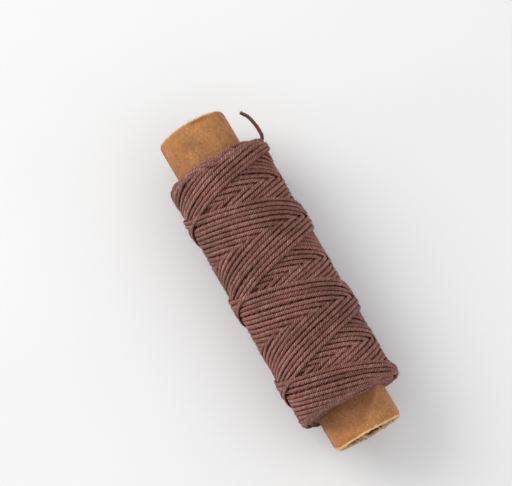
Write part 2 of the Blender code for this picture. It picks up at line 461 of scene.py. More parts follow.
for index in range(STROKES):
    age = STROKES - 1 - index
    angle, x, radius = course(index)
    distance, points, where = resample(lean(round_axis(angle, x, radius)), SPACING)
    angle, x, radius = (
        np.interp(where, np.arange(len(values)), values) for values in (angle, x, radius)
    )
    from_far, from_near = x - X_FAR, X_NEAR - x
    edge = np.minimum(from_far, from_near)
    seen = seen_from_outside(angle, x, radius) | (edge < 1.9)
    margin = np.ones(2 * int(2.4 / SPACING) + 1)
    keep = np.convolve(seen.astype(float), margin, mode="same") > 0
    normal = outward(angle)
    way = np.gradient(points, axis=0)

    # the thread is pulled unevenly, and its twist runs a little tighter and looser
    tight = 1 + 0.050 * np.clip(uneven(strand_rng, distance, 4), -1.6, 1.6)
    tight = tight + 0.030 * np.clip(uneven(strand_rng, distance, 0.9), -1.6, 1.6)
    twisted = distance + 0.20 * uneven(strand_rng, distance, 3.5)
    tone = 0.5 + 0.22 * strand_rng.standard_normal()
    tone = tone + 0.18 * uneven(strand_rng, distance, 15)

    group = age // 2 if age < SHOWN else SHOWN // 2 + 1 + (age - SHOWN) // 8
    if group not in groups:
        groups[group] = Strands("thread_turns_%02d" % (group + 1))
    facing = np.sign(np.cross(way, normal)[:, 0]) * np.where(from_far < from_near, -1.0, 1.0)
    shoulder = np.clip(1.25 - edge / 1.3, 0, 1) * facing
    for run in runs(keep):
        groups[group].add(
            points[run], normal[run], (twisted + total)[run],
            wide=HALF_WIDE * tight[run], high=HALF_HIGH * (2 - tight[run]),
            tone=tone[run], shoulder=shoulder[run],
        )
    if age < FUZZY:
        at = np.nonzero(seen)[0]
        at = at[strand_rng.integers(0, len(at), FUZZ_EACH)]
        fuzz_roots.append((points[at], normal[at], way[at]))
    total += distance[-1]

thread_objs = [groups[key].build() for key in sorted(groups, reverse=True) if groups[key].verts]


# ------------------------------------------------------------------ the body under the strands
def body_under():
    around = 180
    lowest = height
    for rows in range(-REACH, REACH + 1, 2):        # lowest point near each place
        for columns in range(-5, 6, 2):
            lowest = np.minimum(lowest, np.roll(np.roll(height, rows, 0), columns, 1))
    x = np.arange(X_FAR + 1.0, X_NEAR - 1.0, 0.5)
    columns = np.round((x - GRID_X0) / X_STEP).astype(int)
    low = lowest[::ROWS // around][:, columns] - 0.42
    low = np.minimum(low, PACK_R - 0.6)
    for _ in range(2):
        low = (np.roll(low, 1, 0) + low * 2 + np.roll(low, -1, 0)) / 4
    low = np.maximum(low, TUBE_R + 0.5)

    bevel_x, bevel_r = 0.30, 0.5
    inner_r = TUBE_R + 0.05
    back = x[::-1][::8]
    section_x = np.concatenate([[x[0] - bevel_x], x, [x[-1] + bevel_x], back])
    verts = []
    for i, angle in enumerate(np.arange(around) / around * 360):
        outer = low[i]
        section_r = np.concatenate(
            [[outer[0] - bevel_r], outer, [outer[-1] - bevel_r], np.full(len(back), inner_r)]
        )
        section_r = np.maximum(section_r, inner_r)
        verts.append(lean(round_axis(np.full(len(section_x), angle), section_x, section_r)))
    verts = np.array(verts)
    thread = np.zeros(verts.shape)
    thread[..., 0] = verts[..., 0] * 3
    thread[..., 1] = 0.1
    thread[..., 2] = 0.3
    faces = np.roll(sleeve_faces(around, len(section_x)), -1, axis=1)
    return make_mesh("thread_under_layers", verts, faces, {"thread": thread.reshape(-1, 3)})


under = body_under()

# ------------------------------------------------------------------ the last turn and the free end
ASIDE = np.array([0.0, 0.42, 0.0])      # the free end lies this far beside the joints
LEAVE = np.array([-28.42, 12.05, -2.66])        # where it leaves the package
bends = [
    np.array(JOINTS[name]["pos_m"], float) / MM for name in ("tail_lift", "tail_sway", "tip_curl")
]
tip_low, tip_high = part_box("thread_tail_tip")
tip = np.array([tip_low.x / MM + 0.25, tip_low.y / MM + 0.35, tip_high.z / MM - 0.25])


def last_arc():
    """Points of the last turn, which comes up from under the strands."""
    path_angle, path_x, path_radius = paths[-1]
    highest = 11.85
    points = []
    for back in (JOIN_BACK + 7, JOIN_BACK + 2, JOIN_BACK - 4, 60.0, 52.0, 44.0, 37.5):
        angle = NEWEST - back
        sink = 0.60 * max(0.0, (back - (JOIN_BACK - 4)) / 11) ** 1.2
        x = float(np.interp(angle, path_angle, path_x))
        radius = min(float(np.interp(angle, path_angle, path_radius)), highest) - sink
        points.append(lean(round_axis(angle, x, radius)))
    return points


between = (bends[0] + bends[1]) / 2 + np.array([0.0, 0.10, 0.03])
free_line = smooth_line(np.array(last_arc() + [
    LEAVE, bends[0] + ASIDE, between + ASIDE, bends[1] + ASIDE, bends[2] + ASIDE, tip + ASIDE,
]), 24)
free_distance, free_points, _ = resample(free_line, FREE_SPACING)
free_count = len(free_points)
free_normal = unit(np.stack([np.zeros(free_count), free_points[:, 1], free_points[:, 2]], -1))


def nearest(point):
    return int(np.argmin(np.linalg.norm(free_points - point, axis=1)))


leave_at = nearest(LEAVE)
bend_at = [nearest(bend + ASIDE) for bend in bends]
loose = np.clip((free_distance - free_distance[leave_at] + 2.0) / 3.0, 0, 1)
free_wide = HALF_WIDE + (FREE_R + 0.02 - HALF_WIDE) * loose
free_high = HALF_HIGH + (FREE_R + 0.02 - HALF_HIGH) * loose


def free_piece(name, first, last):
    piece = Strands(name)
    part = slice(first, last + 1)
    piece.add(
        free_points[part], free_normal[part], (free_distance + total)[part],
        wide=free_wide[part], high=free_high[part], tone=0.35, packed=(1 - loose)[part],
    )
    return piece.build()


# a piece ends half way between two bends
cuts = (
    0,
    leave_at,
    (bend_at[0] + bend_at[1]) // 2,
    (bend_at[1] + bend_at[2]) // 2,
    free_count - 1,
)
FREE_NAMES = (
    "free_end_last_turn", "free_end_first_bend", "free_end_second_bend", "free_end_tip",
)
turn_obj, lift_obj, sway_obj, tip_obj = [
    free_piece(name, first, last) for name, first, last in zip(FREE_NAMES, cuts, cuts[1:])
]

# ------------------------------------------------------------------ the paper tube
TUBE_AROUND = 720
RING = 3600             # entries in a table of noise round the tube, ten to a degree
tube_rng = np.random.default_rng(5)
tube_angles = np.arange(TUBE_AROUND) / TUBE_AROUND * 360


def ring_noise(low, high, amount):
    """Noise round a ring with low..high waves, its largest value set to amount."""
    angle = np.arange(RING) / RING * 2 * math.pi
    noise = np.zeros(RING)
    for waves in range(low, high + 1):
        strength = tube_rng.standard_normal()
        noise += strength * np.cos(waves * angle + tube_rng.uniform(0, 6.28)) / waves ** 0.5
    return noise / (np.abs(noise).max() + 1e-9) * amount


oval_waves = ring_noise(2, 4, 0.035)
dent_waves = ring_noise(3, 9, 0.03)


def ring_index(angle):
    return np.round(angle * 10).astype(int) % RING


def bump_at(angle, centre, width):
    apart = (angle - centre + 180) % 360 - 180
    return np.exp(-0.5 * (apart / width) ** 2)


def near_cut(angle):
    """The near end is cut a little out of square."""
    return 0.30 + 0.28 * np.cos(np.radians(angle))


def ragged(recess, coarse, fine):
    """How far back an end of a ply is torn, at each angle."""
    places = np.linspace(0, TUBE_AROUND, RING, endpoint=False)
    torn = recess
    for depth, low, high in ((coarse, 1, 7), (fine, 18, 60)):
        waves = np.interp(np.arange(TUBE_AROUND), places, ring_noise(low, high, 1.0))
        torn = torn + depth * (0.5 + 0.5 * waves)
    return torn


def field(rows, columns, across, along):
    """Smooth noise on a grid whose rows go round."""
    grid = tube_rng.standard_normal((rows, columns))
    kernel = np.exp(-0.5 * (np.arange(-3 * across, 3 * across + 1) / across) ** 2)
    spectrum = np.fft.fft(np.pad(kernel, (0, rows - len(kernel))))
    grid = np.real(np.fft.ifft(np.fft.fft(grid, axis=0) * spectrum[:, None], axis=0))
    grid = np.apply_along_axis(smooth, 1, grid, along)
    return grid / (grid.std() + 1e-9)


def out_of_round(x, angle):
    """How far the tube's wall stands out from a true cylinder."""
    index = ring_index(angle)
    beyond = np.abs(x)
    # the rims are pressed in a little at the sides
    near_press = 0.46 * bump_at(angle, 266, 24) + 0.26 * bump_at(angle, 84, 22)
    far_press = 0.16 * bump_at(angle, 84, 20) + 0.10 * bump_at(angle, 264, 20)
    pressed = np.where(x > 0, near_press, far_press)
    pressed = pressed * np.clip((beyond - (TUBE_HALF - 1.2)) / 1.4, 0, 1.1) ** 1.8
    # the far rim is creased, and lifted at its very edge
    crease_fade = np.clip((-x - TUBE_HALF + 3.2) / 3.2, 0, 1) ** 1.5
    crease = -pressed - 0.46 * bump_at(angle, 15, 9) * crease_fade
    lifted = np.clip((-x - (TUBE_HALF - 0.95)) / 0.18, 0, 1)
    crease = crease + 0.60 * bump_at(angle, 14, 11) * lifted
    outer = np.clip((beyond - 30) / 8, 0, 1)
    return oval_waves[index] * outer + dent_waves[index] * outer ** 2 + crease


def sleeve(inner_r, outer_r, flare_in, flare_out):
    """Gives a ply's two radii at any place; a flare thins the ply at its worn ends."""
    def radii(x, angle):
        off = out_of_round(x, angle)
        worn = np.clip((np.abs(x) - (TUBE_HALF - 0.9)) / 0.9, 0, 1) ** 2.2
        wave = (oval_waves * 20)[ring_index(angle)]
        return (
            inner_r + off + flare_in * worn * (0.6 + 0.4 * wave),
            outer_r + off - flare_out * worn * (0.8 + 0.2 * wave),
        )
    return radii


def torn_sleeve(*sizes):
    """The innermost ply, pushed inwards where its near end is torn loose."""
    plain = sleeve(*sizes)

    def radii(x, angle):
        inner_r, outer_r = plain(x, angle)
        pushed = (
            0.85 * bump_at(angle, 284, 14)
            + 0.50 * bump_at(angle, 70, 12)
            + 0.35 * bump_at(angle, 180, 60)
        )
        return inner_r - pushed * np.clip((x - (TUBE_HALF - 1.1)) / 1.1, 0, 1) ** 1.5, outer_r
    return radii


def section_columns(far_end, near_end, lip):
    """Round a ply's section from outside at the far end: places along the axis at each angle, and
    place across the thickness (1 outside, 0 inside). The rims are rounded off over lip."""
    bend = np.linspace(0, math.pi / 2, 5)
    fine = np.concatenate([np.linspace(0, 1.5, 11)[1:], np.linspace(1.5, 4.0, 6)[1:]])
    middle = np.linspace(4.0, 2 * TUBE_HALF - 4.0, 14)[1:-1]
    stations = np.concatenate([fine, middle, 2 * TUBE_HALF - fine[::-1]])
    along = stations / stations.max()

    def wall(part):
        return far_end + lip + (near_end - far_end - 2 * lip) * part

    def short_of_end(turn):
        return lip * (1 - math.sin(turn))

    def rounding(turn):
        return 0.5 * (1 - math.cos(turn))

    back = bend[::-1]
    columns = [(wall(part), 1.0) for part in along]
    columns += [(near_end - short_of_end(turn), 1 - rounding(turn)) for turn in bend[1:]]
    columns += [(near_end - short_of_end(turn), rounding(turn)) for turn in back[1:]]
    columns += [(wall(part), 0.0) for part in along[::-1][1:]]
    columns += [(far_end + short_of_end(turn), rounding(turn)) for turn in bend[1:]]
    columns += [(far_end + short_of_end(turn), 1 - rounding(turn)) for turn in back[1:-1]]
    x = np.stack([place for place, _ in columns], 1)
    return x, np.broadcast_to([across for _, across in columns], x.shape)


def tear(x, radius, across, from_end, depth, fade):
    """Torn, fluffy paper on the end faces and on the inner wall close to the mouth; also gives the
    depth of each hollow, which is painted dark as shade.
    """
    rows, columns = x.shape
    grain = max(1, rows // 360)
    wall = 0.70 * field(rows, columns, 6 * grain, 2.5) + 0.38 * field(rows, columns, grain, 0.8)
    rim = 0.55 * field(rows, columns, 7 * grain, 2.0) + 0.45 * field(rows, columns, grain, 0.8)
    from_end = np.clip(from_end, 0, None)
    soft = np.exp(-from_end / fade) * (1 - across) ** 0.5
    face = np.exp(-from_end / 0.25) * np.clip(1 - np.abs(2 * across - 1) ** 4, 0, 1)
    radius = radius - depth * 0.8 * soft * np.clip(wall + 0.25, -0.4, 2.2)
    x = x + np.sign(x) * depth * face * np.clip(rim, -2, 1.2) * 0.8
    hollow_shade = face * np.clip(0.3 - rim, 0, 1.6) / 1.6 + soft * np.clip(0.2 - wall, 0, 1.6) / 2.4
    return x, radius, hollow_shade


def tube_ply(name, radii, lip, far, near, inset=0.0, notched=0.0, torn=None):
    """A ply of the tube as a closed sleeve. far and near are the recess, coarse and fine depth of
    its ragged ends, torn the depth of the fluff and how far into the mouth it fades.

    Its attributes are paper (distance from the end, place across, turn) and the depth of a
    hollow, which the material paints dark as shade.
    """
    notch = 0.50 * bump_at(tube_angles, 3.5, 2.4) + 0.16 * bump_at(tube_angles, -5, 2.5)
    far_end = -TUBE_HALF + inset + ragged(*far) + notch * notched
    near_end = TUBE_HALF + near_cut(tube_angles) - inset - ragged(*near)
    x, across = section_columns(far_end, near_end, lip)
    angle = np.broadcast_to(tube_angles[:, None], x.shape)
    inner_r, outer_r = radii(x, angle)
    radius = inner_r + (outer_r - inner_r) * across
    hollow_shade = np.zeros(x.shape)
    if torn:
        from_end = np.minimum(x - far_end[:, None], near_end[:, None] - x)
        x, radius, hollow_shade = tear(x, radius, across, from_end, *torn)
    to_end = np.where(x > 0, TUBE_HALF + near_cut(angle) - x, TUBE_HALF + x)
    paper = np.stack([to_end, across, angle / 360.0], -1)
    return make_mesh(
        name, round_axis(angle, x, radius), sleeve_faces(*x.shape),
        {"paper": paper.reshape(-1, 3), "hollow_shade": np.clip(hollow_shade, 0, 1).ravel()},
    )


# radii where one ply meets the next, from outside, and half the gap between them
SKIN_IN, THIRD_IN, SECOND_IN = TUBE_R - 0.28, TUBE_R - 0.71, TUBE_R - 1.14
GAP = 0.012

skin = tube_ply(
    "tube_outer_wrap", sleeve(SKIN_IN + GAP, TUBE_R, -0.22, 0.27), lip=0.12,
    far=(0, 0.06, 0.05), near=(0, 0.06, 0.05), inset=0.04, notched=1.0,
)
third = tube_ply(
    "tube_third_ply", sleeve(THIRD_IN + GAP, SKIN_IN - GAP, -0.14, 0.22), lip=0.13,
    far=(0.0, 0.08, 0.08), near=(0.0, 0.08, 0.08), notched=0.3, torn=(0.11, 0.3),
)
second = tube_ply(
    "tube_second_ply", sleeve(SECOND_IN + GAP, THIRD_IN - GAP, -0.05, 0.15), lip=0.13,
    far=(0.02, 0.16, 0.12), near=(0.03, 0.20, 0.14), torn=(0.18, 0.4),
)
inner = tube_ply(
    "tube_inner_ply", torn_sleeve(BORE_R - 0.04, SECOND_IN - GAP, -0.04, 0.06), lip=0.10,
    far=(0.0, 0.24, 0.20), near=(0.0, 0.34, 0.34), torn=(0.54, 0.90),
)


# ------------------------------------------------------------------ loose fibres
def hairs(name, roots, way, bend, length, radius, attribute, values, sides, rings=4):
    """Thin tapered hairs as closed meshes, with a way, sideways bend, length and radius for each."""
    way = unit(way)
    t = np.linspace(0, 1, rings)
    straight = way[:, None] * (length[:, None] * t[None])[..., None]
    curved = bend[:, None] * (length[:, None] * t[None] ** 2)[..., None]
    centres = roots[:, None] + straight + curved
    tangent = way[:, None] + 2 * bend[:, None] * t[None, :, None]
    tangent /= np.linalg.norm(tangent, axis=2)[..., None]
    not_along = np.abs(way[:, :1]) < 0.8
    helper = np.where(not_along, np.array([[1.0, 0, 0]]), np.array([[0, 1.0, 0]]))[:, None]
    across = np.cross(tangent, helper)
    across /= np.linalg.norm(across, axis=2)[..., None]
    other = np.cross(tangent, across)
    angle = np.arange(sides) / sides * 2 * math.pi
    taper = (radius[:, None] * (1 - 0.75 * t[None]))[..., None]
    verts = (
        centres[:, :, None]
        + (taper * np.cos(angle))[..., None] * across[:, :, None]
        + (taper * np.sin(angle))[..., None] * other[:, :, None]
    )
    base = (np.arange(len(roots)) * rings * sides)[:, None, None]
    last = (rings - 1) * sides
    caps = [[i + 1, i, 0] for i in range(1, sides - 1)]
    caps += [[last, last + i, last + i + 1] for i in range(1, sides - 1)]
    quads = base + tube_faces(rings, sides)[None]
    attributes = {attribute: np.repeat(values, rings * sides, axis=0)}
    return make_mesh(name, verts, quads, attributes, base + np.array(caps)[None])


def mouth_fibres(name, sign, count):
    """Torn paper fibres in one mouth of the tube."""
    rng = tube_rng
    angle = rng.uniform(0, 360, count)
    radius = rng.uniform(BORE_R + 0.05, THIRD_IN + 0.25, count)
    cut = near_cut(angle) if sign > 0 else 0
    x = sign * (TUBE_HALF - rng.uniform(0.25, 0.95, count)) + cut
    out = outward(angle)
    way = np.cross(out, np.array([[1.0, 0, 0]])) * rng.normal(0, 1.0, count)[:, None]
    way = way + np.array([[sign, 0, 0]]) * rng.uniform(0.15, 0.75, count)[:, None]
    way = way - out * rng.uniform(-0.1, 0.6, count)[:, None]
    bend = rng.normal(0, 0.35, (count, 3))
    bend[:, 0] -= sign * 0.25
    length = rng.uniform(0.25, 0.85, count)
    paper = np.stack([rng.uniform(0.0, 0.5, count), np.full(count, 0.4), angle / 360], -1)
    thickness = rng.uniform(0.015, 0.055, count)
    roots = round_axis(angle, x, radius)
    return hairs(name, roots, way, bend, length, thickness, "paper", paper, sides=4)


def thread_fuzz():
    """Fine hairs that stand out from the newest strands."""
    rng = np.random.default_rng(33)
    points, normal, along = (np.concatenate(parts) for parts in zip(*fuzz_roots))
    along = unit(along)
    count = len(points)
    across = np.cross(along, normal)
    side = rng.uniform(-1, 1, count)
    roots = points + normal * (HALF_HIGH * 0.85 * np.sqrt(1 - 0.8 * side ** 2))[:, None]
    roots = roots + across * (side * HALF_WIDE * 0.8)[:, None]
    way = normal * rng.uniform(0.15, 0.8, count)[:, None]
    way = way + across * (side * 0.7 + rng.normal(0, 0.35, count))[:, None]
    way = way + along * rng.normal(0, 0.9, count)[:, None]
    thread = np.stack([rng.uniform(low, high, count) for low, high in ((0, 50), (0, 1), (0.5, 1.0))], -1)
    bend = rng.normal(0, 0.45, (count, 3))
    length = rng.gamma(3.0, 0.14, count) + 0.12
    radius = rng.uniform(0.011, 0.022, count)
    return hairs("thread_fuzz", roots, way, bend, length, radius, "thread", thread, sides=3)


far_fibres = mouth_fibres("tube_far_fibres", sign=-1, count=420)
near_fibres = mouth_fibres("tube_near_fibres", sign=1, count=760)
fuzz = thread_fuzz()


# ------------------------------------------------------------------ the starting end, along the tube
def starting_end():
    low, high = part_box("thread_starting_end")
    count = 120
    x = np.linspace(low.x / MM, high.x / MM, count)
    z = (low.z + high.z) / 2 / MM + 0.02 * np.sin(x * 2.3)
    radius = np.full(count, START_R)
    piece = Strands("thread_start")
    piece.add(
        np.stack([x, 0.05 * np.sin(x * 1.1), z], -1),
        np.tile(np.array([[0.0, 0.0, -1.0]]), (count, 1)),
        x - x[0], wide=radius, high=radius, tone=0.4, packed=0.0,
    )
    return piece.build()


start_obj = starting_end()


# ------------------------------------------------------------------ materials
class Shader:
    """A material with a Principled surface, and short ways to add nodes. Wherever a value is asked
    for, another node's output may be given instead."""

    def __init__(self, name):
        self.material = bpy.data.materials.new(name)
        self.material.use_nodes = True
        self.tree = self.material.node_tree
        self.tree.nodes.clear()
        output = self.node("OutputMaterial")
        self.surface = self.node("BsdfPrincipled")
        self.feed(output.inputs[0], self.surface.outputs[0])

    def feed(self, socket, value):
        if hasattr(value, "node"):
            self.tree.links.new(value, socket)
        elif socket.type == "RGBA":
            socket.default_value = (*value, 1.0)
        else:
            socket.default_value = value

    def node(self, kind, inputs=None, **settings):
        node = self.tree.nodes.new("ShaderNode" + kind)
        for key, value in settings.items():
            setattr(node, key, value)
        for key, value in (inputs or {}).items():
            self.feed(node.inputs[key], value)
        return node

    def finish(self, **inputs):
        """Sets the surface's inputs, with _ for a space in their names."""
        for key, value in inputs.items():
            self.feed(self.surface.inputs[key.replace("_", " ")], value)

    def attribute(self, name, output="Vector"):
        return self.node("Attribute", attribute_name=name).outputs[output]

    def position(self):
        return self.node("TexCoord").outputs["Object"]

    def split(self, vector):
        return self.node("SeparateXYZ", {0: vector}).outputs

    def vector(self, x, y, z):
        return self.node("CombineXYZ", {0: x, 1: y, 2: z}).outputs[0]

    def noise(self, vector, scale, detail, roughness=0.5, distortion=0.0):
        return self.node("TexNoise", {
            "Vector": vector, "Scale": scale, "Detail": detail,
            "Roughness": roughness, "Distortion": distortion,
        }).outputs["Fac"]

    def calc(self, operation, *values):
        return self.node("Math", dict(enumerate(values)), operation=operation).outputs[0]

    def scale_add(self, value, factor, offset):
        return self.calc("MULTIPLY_ADD", value, factor, offset)

    def map_range(self, value, target, source=(0.0, 1.0), smooth_step=False):
        return self.node("MapRange", {
            "Value": value, "From Min": source[0], "From Max": source[1],
            "To Min": target[0], "To Max": target[1],
        }, interpolation_type="SMOOTHSTEP" if smooth_step else "LINEAR").outputs[0]

    def ramp(self, value, *stops):
        """A colour ramp over (position, colour) stops."""
        node = self.node("ValToRGB", {0: value})
        elements = node.color_ramp.elements
        while len(elements) < len(stops):
            elements.new(0.5)
        for element, (position, color) in zip(elements, stops):
            element.position = position
            element.color = (*color, 1.0)
        return node.outputs[0]

    def mask(self, value, low, high):
        """A ramp from black at low to white at high."""
        return self.ramp(value, (low, (0, 0, 0)), (high, (1, 1, 1)))

    def mix(self, factor, first, second, mode="MIX"):
        # inputs 6 and 7 and output 2 of a mix node are its colours
        inputs = {0: factor, 6: first, 7: second}
        return self.node("Mix", inputs, data_type="RGBA", blend_type=mode).outputs[2]

    def tint(self, color, by):
        return self.mix(1.0, color, by, "MULTIPLY")

    def powers(self, value, red, green, blue):
        """A grey value turned into a colour by raising it to a power for each channel."""
        channels = [self.calc("POWER", value, power) for power in (red, green, blue)]
        return self.node("CombineColor", dict(enumerate(channels))).outputs[0]

    def bump(self, height_map, strength, distance, normal=None):
        inputs = {"Height": height_map, "Strength": strength, "Distance": distance}
        if normal is not None:
            inputs["Normal"] = normal
        return self.node("Bump", inputs).outputs[0]


def painted_furrow_shade(shader, body, fibre, position):
    """Paints the shade between two strands into the colour: dark and red, as only light that has
    already gone through waxed thread reaches there. Gives the colour, and how open each place is."""
    ragged_edge = shader.scale_add(fibre, 0.60, -0.30)
    openness = shader.map_range(
        shader.calc("ADD", shader.attribute("outward", "Fac"), ragged_edge),
        source=(0.06, 0.66), target=(0.11, 1.0), smooth_step=True,
    )
    # the painted shade is weaker where wax and fuzz fill the furrows, and full where they are open
    filled = shader.map_range(
        shader.noise(position, scale=150.0, detail=3.0, roughness=0.6),
        source=(0.42, 0.66), target=(0.0, 0.42), smooth_step=True,
    )
    unfilled = shader.calc("SUBTRACT", 1.0, filled)
    depth = shader.scale_add(openness, unfilled, filled)
    return shader.tint(body, shader.powers(depth, red=0.60, green=1.72, blue=2.10)), openness


def thread_material(name, base, dark, light, glow=1.0, packed=False):
    """Waxed thread: base colour, dark and light fibres; packed thread gets painted shade in its furrows."""
    shader = Shader(name)
    calc = shader.calc
    along, from_crest, tone = shader.split(shader.attribute("thread"))
    side_cos, side_sin, ply = shader.split(shader.attribute("round"))
    position = shader.position()

    def on_plies(along_scale, round_scale, tone_scale):
        """A place on the untwisted thread, different for each strand."""
        return shader.vector(
            calc("MULTIPLY", along, along_scale),
            calc("MULTIPLY", side_cos, round_scale),
            shader.scale_add(side_sin, round_scale, calc("MULTIPLY", tone, tone_scale)),
        )

    # fibres run along each ply
    fibre = shader.noise(on_plies(1.6, 4.2, 37.0), scale=1.0, detail=5.0, roughness=0.62)
    wax = shader.noise(position, scale=420.0, detail=6.0, roughness=0.66)
    blotch = shader.noise(position, scale=95.0, detail=3.0, roughness=0.55)
    grain = shader.noise(position, scale=2600.0, detail=3.0, roughness=0.6)
    # painted highlights: short bright glints painted into the colour where single fibres turn over the top of a
    # ply, with darker specks between them
    painted_glint = shader.noise(on_plies(3.4, 1.9, 91.0), scale=1.0, detail=2.0)

    body = shader.mix(shader.mask(fibre, 0.30, 0.72), dark, base)
    waxed = calc("MULTIPLY", shader.mask(wax, 0.50, 0.78), 0.30)
    body = shader.mix(waxed, body, light)
    blotches = shader.ramp(blotch, (0.35, (0.80, 0.80, 0.80)), (0.65, (1.16, 1.14, 1.13)))
    body = shader.tint(body, blotches)
    strand_tone = shader.map_range(tone, target=(0.77, 1.23))
    ply_tone = shader.scale_add(ply, 0.16, 1.0)
    # painted highlight and painted shade: each ply's crest is painted lighter and its grooves darker, on top of
    # each strand's and ply's own tone
    painted_ply_light_and_shade = shader.map_range(calc("MULTIPLY", from_crest, from_crest), target=(1.44, 0.10))
    shade = calc("MULTIPLY", calc("MULTIPLY", strand_tone, ply_tone), painted_ply_light_and_shade)
    # the painted groove shade is warmer as well as darker, because light reaches the grooves off the thread
    # itself
    body = shader.tint(body, shader.powers(shade, red=0.86, green=1.12, blue=1.18))
    # painted highlights and darker specks on the plies
    body = shader.tint(body, shader.ramp(
        painted_glint, (0.34, (0.66, 0.62, 0.60)), (0.52, (1.0, 1.0, 1.0)), (0.68, (1.72, 1.93, 2.00)),
    ))
    # some lengths are browner, some pinker
    lengths = shader.vector(calc("MULTIPLY", along, 0.13), 0.0, calc("MULTIPLY", tone, 9.0))
    hue = shader.noise(lengths, scale=1.0, detail=2.0)
    body = shader.tint(
        body, shader.ramp(hue, (0.32, (0.97, 1.015, 0.96)), (0.68, (1.03, 0.985, 1.03))),
    )

    shine, sheen = 0.24, 0.10 * glow
    if packed:
        # painted shade in the furrows between strands, dark and red
        body, openness = painted_furrow_shade(shader, body, fibre, position)
        shine = calc("MULTIPLY", openness, shine)
        sheen = calc("MULTIPLY", openness, sheen)
    fibre_bump = shader.bump(fibre, strength=0.55, distance=0.00006)
    shader.finish(
        Base_Color=body,
        Specular_IOR_Level=shine,
        Roughness=shader.map_range(wax, target=(0.42, 0.72)),
        Sheen_Weight=sheen,
        Sheen_Roughness=0.45,
        Sheen_Tint=(0.95, 0.80, 0.72),
        Normal=shader.bump(grain, strength=0.45, distance=0.00003, normal=fibre_bump),
    )
    return shader.material


def rubbed_side(shader, jag, turn, position, blot):
    """Widens the pale border where one side of the near rim is rubbed bare."""
    calc = shader.calc
    centre, narrowness = 0.752, 14.0    # as a part of a full turn
    apart = calc("ABSOLUTE", calc("SUBTRACT", turn, centre))
    rubbed = calc("SUBTRACT", 1.0, calc("MULTIPLY", apart, narrowness))
    at_near = calc("GREATER_THAN", shader.split(position)[0], 0.0)
    rubbed = calc("MULTIPLY", calc("MAXIMUM", rubbed, 0.0), at_near)
    return calc("ADD", jag, calc("MULTIPLY", rubbed, shader.scale_add(blot, 3.6, -0.95)))


def stained_and_shadowed_paper(shader, body, from_end, edge, position, blot):
    """Handled paper turns golden towards the rims. Beside the winding it is darkened, partly by wax
    worked into it and partly as painted shadow of the package's shoulder.
    """
    calc = shader.calc
    gold = shader.map_range(
        calc("ADD", from_end, shader.scale_add(blot, 5.0, -2.2)),
        source=(0.2, 3.4), target=(0.95, 0.0), smooth_step=True,
    )
    golden = calc("MULTIPLY", gold, calc("SUBTRACT", 1.0, edge))
    body = shader.mix(golden, body, shader.tint(body, (1.14, 1.07, 0.76)))

    # the darkening of wax and painted shadow reaches a little way along the tube, less far away from the middle
    # of the patch
    x, y, _ = shader.split(position)
    reach = calc("SUBTRACT", calc("MULTIPLY", x, 1000.0), X_NEAR + 6.1)
    reach = calc("ADD", reach, shader.scale_add(blot, -3.4, 1.7))
    off = calc("MULTIPLY", calc("ADD", y, 0.0020), 1000.0)
    reach = calc("ADD", reach, calc("MULTIPLY", calc("MULTIPLY", off, off), 0.095))
    # wax and a painted shadow of the shoulder darken the tube next to the winding
    soak_and_shadow = shader.map_range(reach, source=(-1.1, 0.9), target=(0.80, 0.0), smooth_step=True)
    soak_and_shadow_mask = calc("MULTIPLY", soak_and_shadow, calc("GREATER_THAN", x, 0.0))
    return shader.mix(soak_and_shadow_mask, body, shader.tint(body, (0.53, 0.42, 0.42)))


